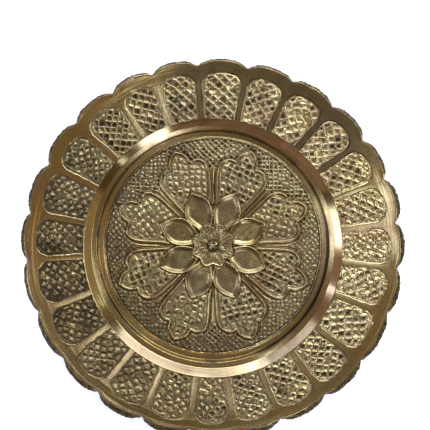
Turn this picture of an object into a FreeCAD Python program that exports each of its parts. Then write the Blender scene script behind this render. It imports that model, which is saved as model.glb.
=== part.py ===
import FreeCAD, Part
import math
import os

import Sketcher

# Cast brass tray with a scalloped rim, on a low turned foot held by one peened stud.
# Frame: +Z up, origin on the table under the centre of the foot. Millimetres.

doc = FreeCAD.newDocument("brass_tray")

# ---------------------------------------------------------------- driving dimensions

DIMENSIONS = [
    ("rim_tip_r", 140.0, "axis to the crown of a scallop"),
    ("rim_notch_r", 135.0, "axis to the notch between two scallops"),
    ("scallop_count", 24, "scallops, each with one arched panel"),
    ("scallop_turn", 13.0, "angle of one scallop's crown from +X, degrees"),
    ("wall", 2.8, "thickness of the casting"),
    ("brim_r", 95.2, "inner edge of the sloping brim"),
    ("wall_mid_r", 91.7, "line round the well's wall where it steepens"),
    ("wall_mid_rise", 7.4, "height of that line above the well's floor"),
    ("well_r", 89.2, "foot of the well's wall"),
    ("well_depth", 10.5, "drop from the brim's inner edge to the well's floor"),
    ("brim_slope", 5.4, "rise of the brim outwards, degrees"),
    ("medallion_r", 82.2, "edge of the chased medallion"),
    ("medallion_rise", 0.6, "medallion above the turned ring round it"),
    ("panel_inner_r", 96.8, "inner end of an arched panel"),
    ("panel_spring_r", 122.5, "where an arched panel's sides end"),
    ("panel_tip_r", 130.0, "crown of an arched panel"),
    ("panel_gap", 3.4, "width of the smooth bar between two panels"),
    ("panel_depth", 0.6, "depth of an arched panel"),
    ("panel_clear", 0.4, "panel's flat outline above the brim"),
    ("leaf_count", 8, "leaves, and petals, round the medallion"),
    ("leaf_turn", 22.5, "angle of one leaf's tip from +X, degrees"),
    ("leaf_tip_r", 78.7, "tip of a leaf"),
    ("leaf_cusp_r", 65.4, "cusp beside the tip"),
    ("leaf_shoulder_r", 60.5, "outer corner of a leaf's shoulder"),
    ("leaf_root_r", 24.0, "inner end of a leaf, under the petals"),
    ("leaf_rise", 0.7, "leaf above the medallion"),
    ("petal_tip_r", 42.6, "tip of a petal"),
    ("petal_meet_r", 28.0, "where two petals' sides meet"),
    ("petal_bulge_r", 24.0, "radius of a petal's curved side"),
    ("petal_rise", 1.3, "petal above the medallion"),
    ("rosette_r", 16.0, "rosette in the middle"),
    ("rosette_rise", 1.9, "rosette above the medallion"),
    ("foot_height", 14.0, "table to the underside of the dish"),
    ("foot_top_r", 39.0, "top of the foot"),
    ("foot_waist_r", 36.5, "narrowest part of the foot"),
    ("foot_base_r", 52.5, "bottom ring of the foot"),
    ("foot_ring", 6.0, "width of the ring that meets the table"),
    ("foot_web", 2.6, "thickness of the foot's flat top"),
    ("stud_r", 3.0, "shank of the stud"),
    ("stud_clearance", 0.05, "gap round the shank"),
    ("nub_r", 3.8, "peened end of the stud"),
    ("nub_rise", 1.6, "peened end above the rosette"),
    ("stud_tail", 1.4, "stud past the nut"),
    ("washer_r", 7.0, "outside of the washer"),
    ("washer_thick", 1.2, "thickness of the washer"),
    ("nut_flats", 10.0, "nut across its flats"),
    ("nut_thick", 4.0, "height of the nut"),
]

sheet = doc.addObject("Spreadsheet::Sheet", "Dims")
for row, (alias, value, meaning) in enumerate(DIMENSIONS, start=1):
    sheet.set(f"A{row}", alias)
    sheet.set(f"B{row}", str(value))
    sheet.set(f"C{row}", meaning)
    sheet.setAlias(f"B{row}", alias)
doc.recompute()

AXES = {"XY": "XY_Plane", "XZ": "XZ_Plane"}


# ---------------------------------------------------------------- helpers


def dim(text):
    """An expression over the sheet's aliases, with each alias written $name."""
    return text.replace("$", "Dims.")


def number(text):
    """The present value of such an expression."""
    probe = doc.addObject("App::FeaturePython", "Probe")
    probe.addProperty("App::PropertyFloat", "Value")
    probe.setExpression("Value", dim(text))
    doc.recompute()
    value = probe.Value
    doc.removeObject(probe.Name)
    return value


def new_body(label):
    body = doc.addObject("PartDesign::Body", label)
    body.Label = label
    return body


def new_sketch(body, name, plane, lift=None, turn=None, tilt=None):
    """A sketch on one of the body's own planes: lifted, and turned about Z or tilted about -Y."""
    role = AXES[plane]
    origin_plane = next(f for f in body.Origin.OriginFeatures if f.Role == role)
    sketch = body.newObject("Sketcher::SketchObject", name)
    sketch.AttachmentSupport = [(origin_plane, "")]
    sketch.MapMode = "FlatFace"
    if turn is not None:
        spin = FreeCAD.Rotation(FreeCAD.Vector(0, 0, 1), number(turn))
        sketch.AttachmentOffset = FreeCAD.Placement(FreeCAD.Vector(), spin)
        sketch.setExpression("AttachmentOffset.Rotation.Angle", dim(turn))
    if tilt is not None:
        reach, angle = tilt
        lean = FreeCAD.Rotation(FreeCAD.Vector(0, -1, 0), number(angle))
        sketch.AttachmentOffset = FreeCAD.Placement(FreeCAD.Vector(number(reach), 0, 0), lean)
        sketch.setExpression("AttachmentOffset.Base.x", dim(reach))
        sketch.setExpression("AttachmentOffset.Rotation.Angle", dim(angle))
    if lift is not None:
        sketch.setExpression("AttachmentOffset.Base.z", dim(lift))
    return sketch


def pin_point(sketch, geo, end, x_text, y_text):
    """Holds one end of a sketch line at a pair of sheet expressions."""
    for kind, axis, text in (("DistanceX", -2, x_text), ("DistanceY", -1, y_text)):
        if text == "0":
            sketch.addConstraint(Sketcher.Constraint("PointOnObject", geo, end, axis))
            continue
        index = sketch.addConstraint(
            Sketcher.Constraint(kind, -1, 1, geo, end, number(text))
        )
        sketch.setExpression(f"Constraints[{index}]", dim(text))


def draw_loop(sketch, corners):
    """A closed outline. Each corner is (x, y), or (x, y, r) when an arc of radius r leads on from it."""
    points = [FreeCAD.Vector(number(c[0]), number(c[1]), 0) for c in corners]
    first = sketch.GeometryCount
    count = len(corners)
    for i, corner in enumerate(corners):
        start = points[i]
        end = points[(i + 1) % count]
        if len(corner) == 2:
            sketch.addGeometry(Part.LineSegment(start, end), False)
            continue
        radius = number(corner[2])
        middle = (start + end) * 0.5
        along = end - start
        left = FreeCAD.Vector(-along.y, along.x, 0).normalize()
        reach = math.sqrt(radius**2 - (along.Length / 2) ** 2)
        centre = middle + left * reach
        crown = centre - left * radius
        sketch.addGeometry(Part.Arc(start, crown, end), False)
    for i, corner in enumerate(corners):
        following = first + (i + 1) % count
        sketch.addConstraint(Sketcher.Constraint("Coincident", first + i, 2, following, 1))
    for i, corner in enumerate(corners):
        pin_point(sketch, first + i, 1, corner[0], corner[1])
        if len(corner) == 3:
            index = sketch.addConstraint(
                Sketcher.Constraint("Radius", first + i, number(corner[2]))
            )
            sketch.setExpression(f"Constraints[{index}]", dim(corner[2]))


def draw_circle(sketch, radius):
    circle = Part.Circle(FreeCAD.Vector(), FreeCAD.Vector(0, 0, 1), number(radius))
    geo = sketch.addGeometry(circle, False)
    sketch.addConstraint(Sketcher.Constraint("Coincident", geo, 3, -1, 1))
    index = sketch.addConstraint(Sketcher.Constraint("Radius", geo, number(radius)))
    sketch.setExpression(f"Constraints[{index}]", dim(radius))


def revolve(body, name, corners):
    """Turns a closed (radius, height) outline about the body's Z axis."""
    sketch = new_sketch(body, name + "_profile", "XZ")
    draw_loop(sketch, corners)
    turned = body.newObject("PartDesign::Revolution", name)
    turned.Profile = sketch
    turned.ReferenceAxis = (sketch, ["V_Axis"])
    turned.Angle = 360.0
    body.Tip = turned
    doc.recompute()
    return turned


def pad(body, name, sketch, height):
    raised = body.newObject("PartDesign::Pad", name)
    raised.Profile = sketch
    raised.Refine = False
    raised.setExpression("Length", dim(height))
    body.Tip = raised
    doc.recompute()
    return raised


def pocket(body, name, sketch, depth=None):
    """Cuts to a depth below the sketch, or right through the body both ways."""
    before = body.Shape.Volume
    cut = body.newObject("PartDesign::Pocket", name)
    cut.Profile = sketch
    cut.Refine = False
    if depth is None:
        cut.Type = "ThroughAll"
        cut.Midplane = True
    else:
        cut.setExpression("Length", dim(depth))
    body.Tip = cut
    doc.recompute()
    assert body.Shape.Volume < before, f"{name} cuts nothing"
    return cut


def repeat(body, name, feature, count):
    """Copies one feature evenly round the body's Z axis."""
    pattern = body.newObject("PartDesign::PolarPattern", name)
    pattern.Originals = [feature]
    pattern.Refine = False
    z_axis = next(f for f in body.Origin.OriginFeatures if f.Role == "Z_Axis")
    pattern.Axis = (z_axis, [""])
    pattern.Angle = 360.0
    pattern.setExpression("Occurrences", dim(count))
    body.Tip = pattern
    doc.recompute()
    return pattern


def polar(radius, angle):
    """A corner given as a radius and an angle from the sketch's X axis, in degrees."""
    return (f"({radius}) * cos({angle})", f"({radius}) * sin({angle})")


# ---------------------------------------------------------------- dish
# The dish's own origin is on its underside; its X axis runs through one scallop's crown.

dish = new_body("dish")
dish.Placement = FreeCAD.Placement(
    FreeCAD.Vector(0, 0, number("$foot_height")),
    FreeCAD.Rotation(FreeCAD.Vector(0, 0, 1), number("$scallop_turn")),
)
dish.setExpression("Placement.Base.z", dim("$foot_height"))
dish.setExpression("Placement.Rotation.Angle", dim("$scallop_turn"))

FLOOR = "$wall"
BRIM = "$wall + $well_depth"
MEDALLION = "$wall + $medallion_rise"
RIM_REACH = "($rim_tip_r - $brim_r)"

revolve(
    dish,
    "casting",
    [
        ("0", "0"),
        ("$well_r + 0.5 * $wall", "0"),
        ("$wall_mid_r + 0.9 * $wall", "$wall_mid_rise"),
        ("$brim_r + 0.5 * $wall", "$well_depth"),
        ("$rim_tip_r", f"$well_depth + {RIM_REACH} * tan($brim_slope)"),
        ("$rim_tip_r", f"{BRIM} + {RIM_REACH} * tan($brim_slope)"),
        ("$brim_r", BRIM),
        ("$wall_mid_r", "$wall + $wall_mid_rise"),
        ("$well_r", FLOOR),
        ("$medallion_r", FLOOR),
        ("$medallion_r", MEDALLION),
        ("0", MEDALLION),
    ],
)

# Everything outside one scallop's arc, carried round the rim.
half_step = "(180 / $scallop_count)"
notch_x = f"$rim_notch_r * cos{half_step}"
notch_y = f"$rim_notch_r * sin{half_step}"
scallop_rise = f"($rim_tip_r - {notch_x})"
scallop_arc = f"({notch_y} * {notch_y} + {scallop_rise} * {scallop_rise}) / (2 * {scallop_rise})"
outside = "($rim_tip_r + 12)"
clear_angle = "(1.2 * 180 / $scallop_count)"
scallop_sketch = new_sketch(dish, "scallop_outline", "XY")
draw_loop(
    scallop_sketch,
    [
        (notch_x, f"-1 * {notch_y}", scallop_arc),
        (notch_x, notch_y),
        polar(outside, clear_angle),
        (f"{outside} * cos{clear_angle}", f"-1 * {outside} * sin{clear_angle}"),
    ],
)
scallop = pocket(dish, "scallop_cut", scallop_sketch)
repeat(dish, "scallops", scallop, "$scallop_count")

# One arched panel, sunk into the sloping brim, carried round it. Its outline lies a little clear of
# the brim, because the brim is a cone and the outline is flat.
panel_lift = f"{BRIM} + $panel_clear"
panel_sketch = new_sketch(
    dish, "panel_outline", "XY", lift=panel_lift, tilt=("$brim_r", "$brim_slope")
)
inner_half = f"($panel_inner_r * sin{half_step} - 0.5 * $panel_gap)"
outer_half = f"($panel_spring_r * sin{half_step} - 0.5 * $panel_gap)"
crown_rise = "($panel_tip_r - $panel_spring_r)"
crown_arc = f"({outer_half} * {outer_half} + {crown_rise} * {crown_rise}) / (2 * {crown_rise})"
draw_loop(
    panel_sketch,
    [
        ("$panel_inner_r - $brim_r", f"-1 * {inner_half}"),
        ("$panel_spring_r - $brim_r", f"-1 * {outer_half}", crown_arc),
        ("$panel_spring_r - $brim_r", outer_half),
        ("$panel_inner_r - $brim_r", inner_half),
    ],
)
panel = pocket(dish, "panel_cut", panel_sketch, "$panel_depth + $panel_clear")
repeat(dish, "panels", panel, "$scallop_count")

# One cusped leaf and one pointed petal, each raised and carried round the medallion.
LEAF_TURN = "$leaf_turn - $scallop_turn"
leaf_sketch = new_sketch(dish, "leaf_outline", "XY", lift=MEDALLION, turn=LEAF_TURN)
half_leaf = [
    polar("$leaf_root_r", "17"),
    polar("$leaf_shoulder_r * 0.86", "20.6"),
    polar("$leaf_shoulder_r", "18.4"),
    polar("$leaf_cusp_r * 0.99", "12.5"),
    polar("$leaf_cusp_r", "8.5"),
    polar("$leaf_cusp_r * 1.08", "6"),
]
other_half = [(x, f"-1 * {y}") for x, y in half_leaf]
draw_loop(leaf_sketch, other_half + [("$leaf_tip_r", "0")] + half_leaf[::-1])
leaf = pad(dish, "leaf", leaf_sketch, "$leaf_rise")
repeat(dish, "leaves", leaf, "$leaf_count")

flower_sketch = new_sketch(dish, "flower_outline", "XY", lift=MEDALLION)
draw_circle(flower_sketch, "$petal_meet_r")
pad(dish, "flower", flower_sketch, "0.85 * $petal_rise")

petal_sketch = new_sketch(dish, "petal_outline", "XY", lift=MEDALLION, turn=LEAF_TURN)
meet_x, meet_y = polar("$petal_meet_r", "0.9 * 180 / $leaf_count")
draw_loop(
    petal_sketch,
    [
        (meet_x, f"-1 * {meet_y}", "$petal_bulge_r"),
        ("$petal_tip_r", "0", "$petal_bulge_r"),
        (meet_x, meet_y),
    ],
)
petal = pad(dish, "petal", petal_sketch, "$petal_rise")
repeat(dish, "petals", petal, "$leaf_count")

rosette_sketch = new_sketch(dish, "rosette_outline", "XY", lift=MEDALLION)
draw_circle(rosette_sketch, "$rosette_r")
pad(dish, "rosette", rosette_sketch, "$rosette_rise")

dish_hole_sketch = new_sketch(dish, "stud_hole_outline", "XY")
draw_circle(dish_hole_sketch, "$stud_r + $stud_clearance")
pocket(dish, "stud_hole", dish_hole_sketch)

# ---------------------------------------------------------------- foot
# A turned, waisted ring with a flat web under the dish, open below.

foot = new_body("foot")
revolve(
    foot,
    "foot_turning",
    [
        ("$stud_r + $stud_clearance", "$foot_height - $foot_web"),
        ("$foot_waist_r - $wall", "$foot_height - $foot_web"),
        ("$foot_waist_r - $wall", "0.62 * $foot_height"),
        ("$foot_base_r - $foot_ring - 2", "0.18 * $foot_height"),
        ("$foot_base_r - $foot_ring", "0"),
        ("$foot_base_r - 0.6", "0"),
        ("$foot_base_r", "0.6"),
        ("$foot_base_r", "0.17 * $foot_height"),
        ("$foot_base_r - 1", "0.21 * $foot_height"),
        ("$foot_base_r - 3", "0.26 * $foot_height"),
        ("0.5 * ($foot_base_r + $foot_waist_r) - 2", "0.42 * $foot_height"),
        ("$foot_waist_r", "0.66 * $foot_height"),
        ("$foot_waist_r + 0.4", "0.8 * $foot_height"),
        ("$foot_top_r", "0.88 * $foot_height"),
        ("$foot_top_r", "$foot_height"),
        ("$stud_r + $stud_clearance", "$foot_height"),
    ],
)

# ---------------------------------------------------------------- washer, nut and stud

washer = new_body("washer")
washer.setExpression("Placement.Base.z", dim("$foot_height - $foot_web - $washer_thick"))
washer_sketch = new_sketch(washer, "washer_outline", "XY")
draw_circle(washer_sketch, "$washer_r")
draw_circle(washer_sketch, "$stud_r + 4 * $stud_clearance")
pad(washer, "washer_plate", washer_sketch, "$washer_thick")

NUT_TOP = "$foot_height - $foot_web - $washer_thick"
nut = new_body("nut")
nut.setExpression("Placement.Base.z", dim(f"{NUT_TOP} - $nut_thick"))
nut_sketch = new_sketch(nut, "nut_outline", "XY")
corner_r = "($nut_flats / (2 * cos(30)))"
draw_loop(nut_sketch, [polar(corner_r, f"{60 * k + 30}") for k in range(6)])
draw_circle(nut_sketch, "$stud_r")
pad(nut, "nut_hexagon", nut_sketch, "$nut_thick")

nut_corner_sketch = new_sketch(nut, "nut_corner_profile", "XZ")
draw_loop(
    nut_corner_sketch,
    [
        (corner_r, "-0.1"),
        (f"{corner_r} + 1", "-0.1"),
        (f"{corner_r} + 1", "0.5"),
        (f"{corner_r} + 0.1", "0.5"),
        ("0.5 * $nut_flats - 0.1", "-0.1"),
    ],
)
nut_corners = nut.newObject("PartDesign::Groove", "nut_corners")
nut_corners.Profile = nut_corner_sketch
nut_corners.ReferenceAxis = (nut_corner_sketch, ["V_Axis"])
nut_corners.Angle = 360.0
nut_before = nut.Shape.Volume
nut.Tip = nut_corners
doc.recompute()
assert nut.Shape.Volume < nut_before, "nut_corners cuts nothing"

STUD_LENGTH = f"($foot_height + {MEDALLION} + $rosette_rise)"
stud = new_body("centre_stud")
stud.setExpression("Placement.Base.z", dim(f"{NUT_TOP} - $nut_thick - $stud_tail"))
shank = f"({STUD_LENGTH} - ({NUT_TOP} - $nut_thick - $stud_tail))"
revolve(
    stud,
    "stud_turning",
    [
        ("0", "0"),
        ("$stud_r - 0.6", "0"),
        ("$stud_r", "0.6"),
        ("$stud_r", shank),
        ("$nub_r", shank),
        ("$nub_r", f"{shank} + 0.35 * $nub_rise"),
        ("0.78 * $nub_r", f"{shank} + 0.8 * $nub_rise"),
        ("0.4 * $nub_r", f"{shank} + $nub_rise"),
        ("0", f"{shank} + $nub_rise"),
    ],
)

# ---------------------------------------------------------------- checks and export

doc.recompute()
for obj in doc.Objects:
    assert not {"Invalid", "Error"} & set(obj.State), f"{obj.Name}: {obj.State}"

os.makedirs("parts", exist_ok=True)
for body in (dish, foot, stud, washer, nut):
    shape = body.Shape
    assert not shape.isNull() and shape.isValid(), body.Label
    assert len(shape.Solids) == 1, f"{body.Label} has {len(shape.Solids)} solids"
    shape.exportStep(f"parts/{body.Label}.step")
    print(body.Label, round(shape.Volume, 1), shape.BoundBox)
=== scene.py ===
import math

import bpy
import numpy as np
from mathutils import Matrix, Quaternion, Vector


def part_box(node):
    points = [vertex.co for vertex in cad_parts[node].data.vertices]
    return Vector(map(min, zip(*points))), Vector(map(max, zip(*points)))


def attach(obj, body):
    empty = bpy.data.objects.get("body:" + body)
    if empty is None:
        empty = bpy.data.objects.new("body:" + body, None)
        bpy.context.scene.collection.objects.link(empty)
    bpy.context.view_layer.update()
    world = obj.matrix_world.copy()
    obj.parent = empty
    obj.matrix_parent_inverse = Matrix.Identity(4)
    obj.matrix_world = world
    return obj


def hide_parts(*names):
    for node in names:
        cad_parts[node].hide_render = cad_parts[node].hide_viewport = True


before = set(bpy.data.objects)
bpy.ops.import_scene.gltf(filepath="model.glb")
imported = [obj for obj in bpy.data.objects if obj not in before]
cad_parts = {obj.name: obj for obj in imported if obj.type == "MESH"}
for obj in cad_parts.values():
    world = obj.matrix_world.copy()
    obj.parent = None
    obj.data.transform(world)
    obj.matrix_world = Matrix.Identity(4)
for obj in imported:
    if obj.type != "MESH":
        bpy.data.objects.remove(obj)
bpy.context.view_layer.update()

# A cast brass tray seen from straight above. Lengths are worked in millimetres and written to the
# meshes in metres. A bearing is an angle in degrees, clockwise from +Y as seen from above.

MM = 0.001


def node_box(node):
    low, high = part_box(node)
    return [c / MM for c in low], [c / MM for c in high]


DISH_LOW, DISH_HIGH = node_box("dish")
FOOT_LOW, FOOT_HIGH = node_box("foot")
STUD_LOW, STUD_HIGH = node_box("centre_stud")
WASHER_LOW, WASHER_HIGH = node_box("washer")
NUT_LOW, NUT_HIGH = node_box("nut")

# ---------------------------------------------------------------- sizes

WALL = 2.8
FLOOR_Z = DISH_LOW[2] + WALL
# Radii, from the outside in: the silhouette's crowns and notches, the turned profile's corners, the
# medallion and the stud's hole.
TIP_R = 141.6
NOTCH_R = 136.2
BRIM_R = 96.0
MID_R = 91.0
STEP_R = 87.4
MEDALLION_R = 82.7
HOLE_R = 3.05
BRIM_Z = FLOOR_Z + 10.5
MID_Z = FLOOR_Z + 6.8
STEP_Z = FLOOR_Z + 5.5
BRIM_SLOPE = math.tan(math.radians(5.4))
PROFILE_END_R = 150
# A panel's arch: where it starts, where its sides turn into the arch, and its tip.
ARCH_INNER, ARCH_SPRING, ARCH_TIP = 96.4, 119.6, 130.2
BAR_HALF = 2.3
# Outside this radius the brim's rings of points follow the scallops.
FOLLOW_R = 118.0
# Where the smooth band outside the arches starts to be hollowed.
HOLLOW_R = 128.5
# How far a cell's centre strays, as a share of the cell, and the spacing of points on the upper side.
JITTER = 0.42
STEP = 0.42
BRIM_ROWS = 116
POINTS_PER_PANEL = 96
# Length of rim to a degree of bearing, for the noise along the rim.
RIM_MM = 2.4
# The cast side of the rim: share of the way from the lip out to the silhouette, drop, and how rough.
RIM_SIDE = (
    (0.03, 0.05, 0.4), (0.1, 0.2, 1.0), (0.22, 0.42, 1.0), (0.36, 0.7, 1.0), (0.5, 1.0, 1.0),
    (0.63, 1.3, 1.0), (0.76, 1.65, 1.0), (0.88, 2.0, 1.0), (0.96, 2.4, 1.0), (1.0, 2.8, 1.0), (0.9, 3.2, 0.8),
)
# The underside's profile: radius, and height over its flat middle.
UNDER_PROFILE = (
    (0.0, 0.0), (90.2, 0.05), (91.4, 1.5), (93.8, 6.9), (94.9, 8.2), (96.4, 10.3), (97.6, 10.7),
    (140.0, 14.73),
)

# Bearings of the smooth bars between the panels, read from the photo. The tray was laid out by
# hand, so they aren't quite even.
BARS = [
    10.9, 25.4, 40.1, 54.0, 67.9, 82.0, 96.4, 111.0, 127.5, 142.9, 158.6, 173.4,
    187.3, 202.7, 218.4, 233.4, 249.8, 266.3, 281.1, 297.4, 312.6, 327.4, 340.9, 355.1,
]
PANELS = len(BARS)
LEAVES = 8
LEAF_TURN = 360.0 / LEAVES

# ---------------------------------------------------------------- noise


def hashed(ix, iy, seed):
    """A repeatable number from 0 to 1 for each pair of whole numbers."""
    n = (ix.astype(np.int64) * 374761393 + iy.astype(np.int64) * 668265263 + seed * 974711) & 0x7FFFFFFF
    n = ((n ^ (n >> 13)) * 1274126177) & 0x7FFFFFFF
    n = (n ^ (n >> 16)) & 0xFFFFFF
    return n / float(0xFFFFFF)


def noise(x, y, size, seed):
    """Smooth value noise from -1 to 1 with features about size across."""
    u, v = x / size, y / size
    iu, iv = np.floor(u), np.floor(v)
    fu, fv = u - iu, v - iv
    fu, fv = fu * fu * (3 - 2 * fu), fv * fv * (3 - 2 * fv)
    low = hashed(iu, iv, seed) * (1 - fu) + hashed(iu + 1, iv, seed) * fu
    high = hashed(iu, iv + 1, seed) * (1 - fu) + hashed(iu + 1, iv + 1, seed) * fu
    return 2 * (low * (1 - fv) + high * fv) - 1


def smooth(low, high, value):
    t = np.clip((value - low) / (high - low), 0, 1)
    return t * t * (3 - 2 * t)


def bump(distance, half_width):
    """A rounded ridge of height 1 along distance 0."""
    t = np.clip(1 - (distance / half_width) ** 2, 0, 1)
    return t * np.sqrt(t)


def lay(under, over, cover):
    """One value laid over another where cover is 1."""
    return under * (1 - cover) + over * cover


def toward(bearing, middle):
    """1 at a bearing, falling to -1 on the far side."""
    return np.cos(np.radians(bearing - middle))


def apart(bearing, middle):
    """Degrees between two bearings."""
    return np.abs((bearing - middle + 180.0) % 360.0 - 180.0)


def rim_noise(bearing, size, seed, row=0.0):
    """Noise along the rim, different on each row."""
    turn = bearing * RIM_MM
    return noise(turn, turn * 0 + row, size, seed)


# ---------------------------------------------------------------- chased patterns


def lattice(u, v, angle, pitch, shear, net, seed):
    """Hand-cut cells in rows along two directions, some of them run together. Where net is high the
    cuts leave straighter ridges round sunk cells, and where it is low they leave pointed studs. Gives a
    height from about -1.4 to 0.4, lowest in the sunk cells."""
    loose = 1 - 0.65 * net
    u = u + 0.6 * noise(u, v, 9.0, seed) + 0.34 * loose * noise(u, v, 3.4, seed + 1)
    v = v + 0.6 * noise(u, v, 9.0, seed + 2) + 0.34 * loose * noise(u, v, 3.4, seed + 3)
    a, b = math.radians(angle), math.radians(angle + shear)
    p = (u * math.cos(a) + v * math.sin(a)) / pitch
    q = (u * math.cos(b) + v * math.sin(b)) / pitch
    ip, iq = np.floor(p), np.floor(q)
    first, second = np.full(p.shape, 9.0), np.full(p.shape, 9.0)
    cell = [np.zeros(p.shape) for _ in range(6)]  # the nearest cell and the offset in it, then the next cell
    for di in (-1, 0, 1):
        for dj in (-1, 0, 1):
            ci, cj = ip + di, iq + dj
            dx = p - ci - 0.5 - JITTER * loose * (hashed(ci, cj, seed + 4) - 0.5)
            dy = q - cj - 0.5 - JITTER * loose * (hashed(ci, cj, seed + 5) - 0.5)
            away = np.maximum(np.abs(dx), np.abs(dy)) + 0.25 * np.minimum(np.abs(dx), np.abs(dy))
            closer, nearer = away < first, away < second
            second = np.where(closer, first, np.where(nearer, away, second))
            cell[4] = np.where(closer, cell[0], np.where(nearer, ci, cell[4]))
            cell[5] = np.where(closer, cell[1], np.where(nearer, cj, cell[5]))
            for k, value in enumerate((ci, cj, dx, dy)):
                cell[k] = np.where(closer, value, cell[k])
            first = np.minimum(first, away)
    gap = (second - first) / 2
    joined = hashed(cell[0] + cell[4], cell[1] + cell[5], seed + 6) < 0.13
    gap = np.where(joined, np.maximum(gap, 0.24), gap)
    lean_p = hashed(cell[0], cell[1], seed + 7) - 0.5
    lean_q = hashed(cell[0], cell[1], seed + 8) - 0.5
    size = 0.55 + 0.75 * hashed(cell[0], cell[1], seed + 9)
    top = 0.22 * (hashed(cell[0], cell[1], seed + 10) - 0.5)
    lean = 1.5 * (lean_p * cell[2] + lean_q * cell[3]) + top
    studs = -0.55 + 0.82 * np.clip(gap / 0.4, 0, 1) ** 0.85 + lean * smooth(0.04, 0.24, gap)
    pits = 0.25 - 1.45 * size * np.clip((gap - 0.05) / 0.4, 0, 1) ** 0.9 + 0.6 * lean * smooth(0.1, 0.3, gap)
    choice = smooth(-0.1, 0.1, net - 0.5 + 0.45 * noise(u, v, 9.0, seed + 11))
    height = choice * pits + (1 - choice) * studs
    return height + 0.12 * noise(u, v, 1.3, seed + 12) + 0.08 * noise(u, v, 0.8, seed + 13)


# ---------------------------------------------------------------- outlines


def polar_frame(x, y, bearing):
    """Distances along and across the ray that leaves the centre at a bearing."""
    a = np.radians(bearing)
    return x * np.sin(a) + y * np.cos(a), x * np.cos(a) - y * np.sin(a)


def nearest(px, py, outline):
    """Distance from each point to an open chain of corners."""
    best = np.full(px.shape, 1e9)
    for (ax, ay), (bx, by) in zip(outline[:-1], outline[1:]):
        dx, dy = bx - ax, by - ay
        t = np.clip(((px - ax) * dx + (py - ay) * dy) / (dx * dx + dy * dy), 0, 1)
        best = np.minimum(best, np.hypot(px - ax - t * dx, py - ay - t * dy))
    return best


def within(px, py, outline):
    """Whether each point lies inside a closed chain of corners."""
    inside = np.zeros(px.shape, bool)
    for (ax, ay), (bx, by) in zip(outline, outline[1:] + outline[:1]):
        if ay == by:
            continue
        crosses = (ay > py) != (by > py)
        inside ^= crosses & (px < ax + (py - ay) * (bx - ax) / (by - ay))
    return inside


def rounded(corners, sharp):
    """Cuts the corners of a chain into a curve, leaving the listed ones sharp."""
    points = [(c, i in sharp) for i, c in enumerate(corners)]
    for _ in range(2):
        cut = [points[0]]
        for (p, _), (q, keep) in zip(points[:-1], points[1:]):
            cut.append((tuple(0.75 * a + 0.25 * b for a, b in zip(p, q)), False))
            cut.append((tuple(0.25 * a + 0.75 * b for a, b in zip(p, q)), False))
            if keep:
                cut.append((q, True))
        cut.append(points[-1])
        points = cut
    return [p for p, _ in points]


# Half a leaf, from its tip to its root: distances along and across its own axis.
HALF_LEAF = [
    (78.4, 0.0), (75.2, 5.2), (70.6, 8.6), (66.6, 9.2), (67.2, 13.0), (64.6, 17.6),
    (59.6, 20.4), (53.0, 19.9), (44.0, 16.7), (32.0, 12.2), (16.0, 6.0),
]
HALF_LEAF = rounded(HALF_LEAF, {3})
LEAF = [(p, -q) for p, q in HALF_LEAF[::-1]] + HALF_LEAF[1:]
# The same for a petal.
HALF_PETAL = [(43.6, 0.0), (40.4, 3.9), (35.8, 8.4), (29.0, 11.0), (22.5, 9.8), (14.0, 4.8), (9.0, 1.0)]
HALF_PETAL = rounded(HALF_PETAL, set())
PETAL = [(p, -q) for p, q in HALF_PETAL[::-1]] + HALF_PETAL[1:]

# Share of sunk cells in each part of the ground, clockwise from the top.
GROUND_NET = [0.75, 0.7, 0.2, 0.3, 0.5, 0.1, 0.15, 0.35]
# Angle, pitch and share of sunk cells of each leaf's lattice, clockwise from the top.
LEAF_HATCH = [
    (3, 4.5, 0.8), (38, 4.6, 0.3), (8, 4.5, 0.75), (8, 4.6, 0.6),
    (-12, 4.7, 0.2), (4, 4.9, 0.8), (30, 4.5, 0.25), (24, 4.4, 0.3),
]
# The same for each panel, from the one past the first bar.
PANEL_HATCH = [
    (-52, 5.0, 0.95), (-44, 5.4, 0.85), (-38, 5.0, 0.9), (-50, 5.2, 0.8), (-42, 4.8, 0.9),
    (-48, 5.0, 0.3), (-58, 5.0, 0.9), (-62, 5.2, 0.8), (-56, 4.8, 0.85), (-50, 4.8, 0.6),
    (-40, 4.4, 0.7), (-46, 4.5, 0.3), (-44, 4.7, 0.2), (-50, 5.1, 0.25), (-52, 4.6, 0.1),
    (-48, 4.8, 0.05), (-50, 4.8, 0.05), (-44, 4.7, 0.1), (-47, 4.5, 0.2), (-50, 4.4, 0.3),
    (-52, 4.4, 0.8), (-46, 5.0, 0.85), (-60, 4.8, 0.95), (-48, 5.2, 0.95),
]


def bearing_of(x, y):
    return np.degrees(np.arctan2(x, y)) % 360.0


def panel_of(bearing):
    """Each bearing's panel, how far it lies from the panel's middle (-1 and 1 at its bars), and the
    panel's half-width and middle, in degrees."""
    starts = np.array(BARS)
    index = (np.searchsorted(starts, bearing, side="right") - 1) % PANELS
    width = (np.roll(starts, -1) - starts) % 360.0
    along = (bearing - starts[index]) % 360.0
    return index, 2 * along / width[index] - 1, width[index] / 2, starts[index] + width[index] / 2


def draft(bearing):
    """How far the cast side leans out below the lip, which is least at the back."""
    b = np.radians(bearing)
    return 3.6 - 1.5 * np.cos(b) + 0.35 * np.sin(b) + 0.35 * rim_noise(bearing, 5.0, 61)


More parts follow.
